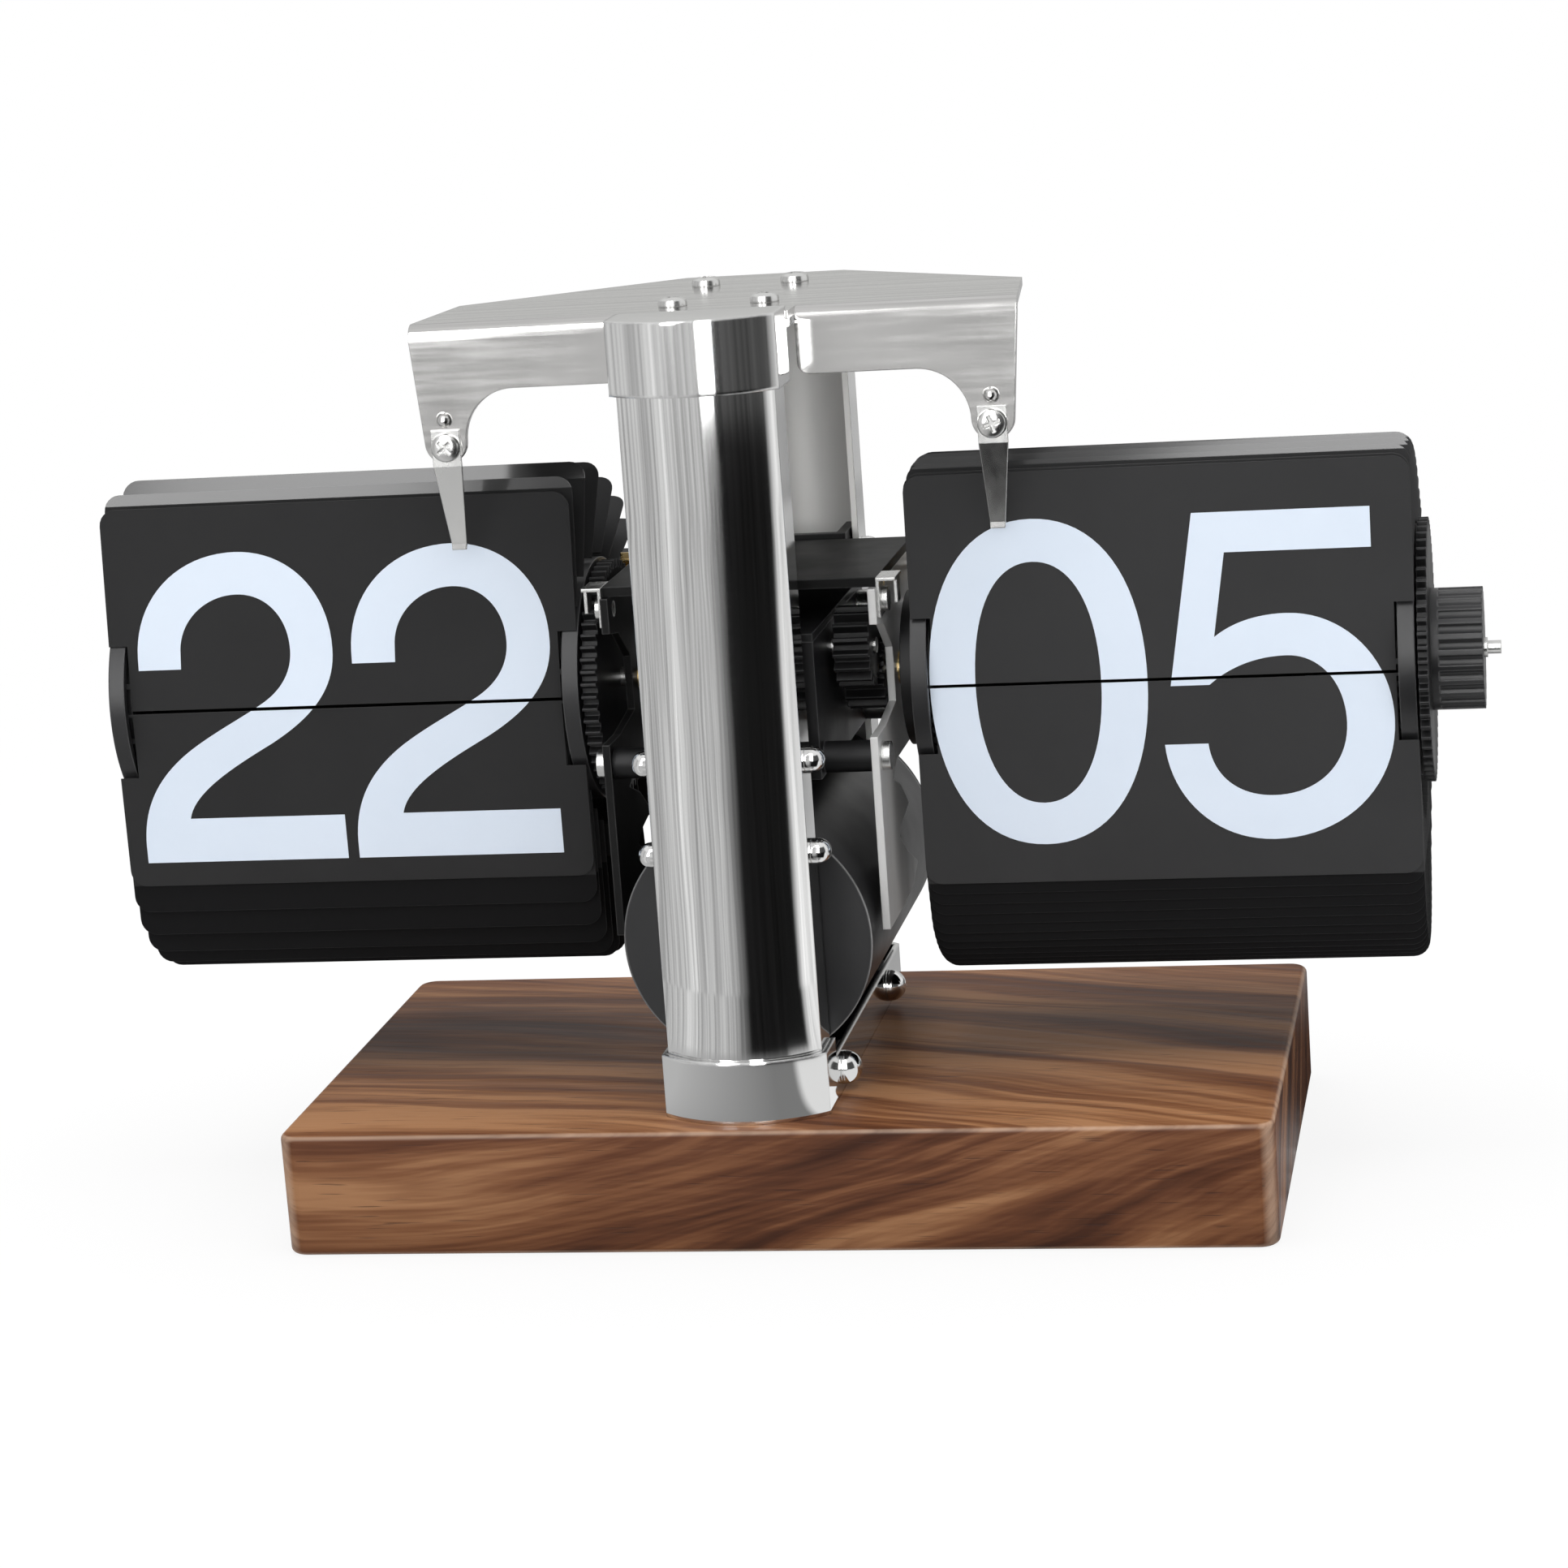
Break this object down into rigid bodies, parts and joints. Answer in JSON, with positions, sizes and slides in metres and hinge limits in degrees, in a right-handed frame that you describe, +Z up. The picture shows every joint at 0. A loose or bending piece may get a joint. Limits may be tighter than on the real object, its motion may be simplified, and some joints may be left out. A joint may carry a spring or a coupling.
{
  "type": "flip clock",
  "caption": "Desk flip clock: two drums of falling number leaves on one shaft, held by a chrome column frame with leaf fingers, on a wooden base.",
  "frame": {"origin": "centre of the underside of the wooden base", "axes": "+Z up, -Y towards the viewer who reads the digits, +X to the viewer's right, towards the setting knob"},
  "size_m": [0.2165, 0.0879, 0.14],
  "materials": {
    "walnut": "oiled satin",
    "chrome": "polished",
    "bright_steel": "bright zinc",
    "black_plastic": "satin",
    "disc_plastic": "semi gloss",
    "leaf_plastic": "semi gloss",
    "black_metal": "satin black",
    "grey_metal": "mill",
    "brass": "turned",
    "cell_jacket": "plain wrapper",
    "circuit_green": "solder mask"
  },
  "bodies": {
    "frame": {"wood_base": "walnut", "base_screws": "bright_steel", "tray_nuts": "bright_steel", "bottom_tray": "chrome", "front_column": "chrome", "rear_column": "chrome", "top_lid": "chrome", "arm_bridge": "chrome", "bridge_screws": "bright_steel", "left_finger": "bright_steel", "right_finger": "bright_steel", "finger_screws": "bright_steel", "front_cradle": "black_plastic", "rear_cradle": "black_plastic", "side_screws": "chrome", "battery_tube": "black_plastic", "battery_cell": "cell_jacket", "front_contact": "bright_steel", "movement_case": "black_plastic", "case_cover": "black_plastic", "motor": "bright_steel", "circuit_board": "circuit_green", "front_bracket": "black_plastic", "rear_bracket": "black_plastic", "column_rods": "bright_steel", "column_nuts": "chrome", "left_plate": "black_metal", "right_plate": "grey_metal", "plate_posts": "bright_steel", "plate_screws": "bright_steel", "top_plate": "black_metal", "minute_detent": "bright_steel", "hour_detent": "bright_steel", "detent_screws": "bright_steel", "shaft_bushes": "brass", "hour_leaves": "leaf_plastic", "minute_leaves": "leaf_plastic"},
    "minute_drum": {"main_shaft": "bright_steel", "minute_core": "black_plastic", "minute_inner_disc": "disc_plastic", "minute_outer_disc": "disc_plastic", "minute_wheel": "black_plastic", "setting_knob": "black_plastic", "minute_pinion": "black_plastic", "advance_cam": "black_plastic", "end_nut": "bright_steel"},
    "hour_drum": {"hour_core": "black_plastic", "hour_inner_disc": "disc_plastic", "hour_outer_disc": "disc_plastic", "hour_wheel": "black_plastic"},
    "drive": {"drive_wheel": "black_plastic", "drive_arbor": "bright_steel"},
    "transfer": {"transfer_arbor": "bright_steel", "transfer_pinion": "brass", "star_wheel": "brass"},
    "hour_leaf": {"hour_front_leaf": "leaf_plastic"},
    "minute_leaf": {"minute_front_leaf": "leaf_plastic"},
    "cap": {"battery_cap": "black_plastic", "cap_contact": "brass"}
  },
  "joints": [
    {"name": "minute_drum_spin", "type": "hinge", "parent": "frame", "child": "minute_drum", "pos_m": [-0.0037, 0.003, 0.0791], "axis": [1, 0, 0], "continuous": true},
    {"name": "hour_drum_spin", "type": "hinge", "parent": "frame", "child": "hour_drum", "pos_m": [-0.0037, 0.003, 0.0791], "axis": [1, 0, 0], "continuous": true},
    {"name": "drive_spin", "type": "hinge", "parent": "frame", "child": "drive", "pos_m": [-0.0037, -0.0067, 0.0847], "axis": [1, 0, 0], "continuous": true},
    {"name": "transfer_spin", "type": "hinge", "parent": "frame", "child": "transfer", "pos_m": [-0.0037, 0.01909, 0.0926], "axis": [1, 0, 0], "continuous": true},
    {"name": "hour_leaf_fall", "type": "hinge", "parent": "frame", "child": "hour_leaf", "pos_m": [-0.0037, -0.014, 0.0791], "axis": [-1, 0, 0], "range_deg": [0, 165]},
    {"name": "minute_leaf_fall", "type": "hinge", "parent": "frame", "child": "minute_leaf", "pos_m": [-0.0037, -0.014, 0.0791], "axis": [-1, 0, 0], "range_deg": [0, 165]},
    {"name": "cap_slide", "type": "slide", "parent": "frame", "child": "cap", "axis": [0, 1, 0], "range_m": [0, 0.02]}
  ],
  "couplings": [
    {"joint": "hour_drum_spin", "follows": "minute_drum_spin", "ratio": 0.041667},
    {"joint": "drive_spin", "follows": "minute_drum_spin", "ratio": -1},
    {"joint": "transfer_spin", "follows": "minute_drum_spin", "ratio": -0.25}
  ]
}
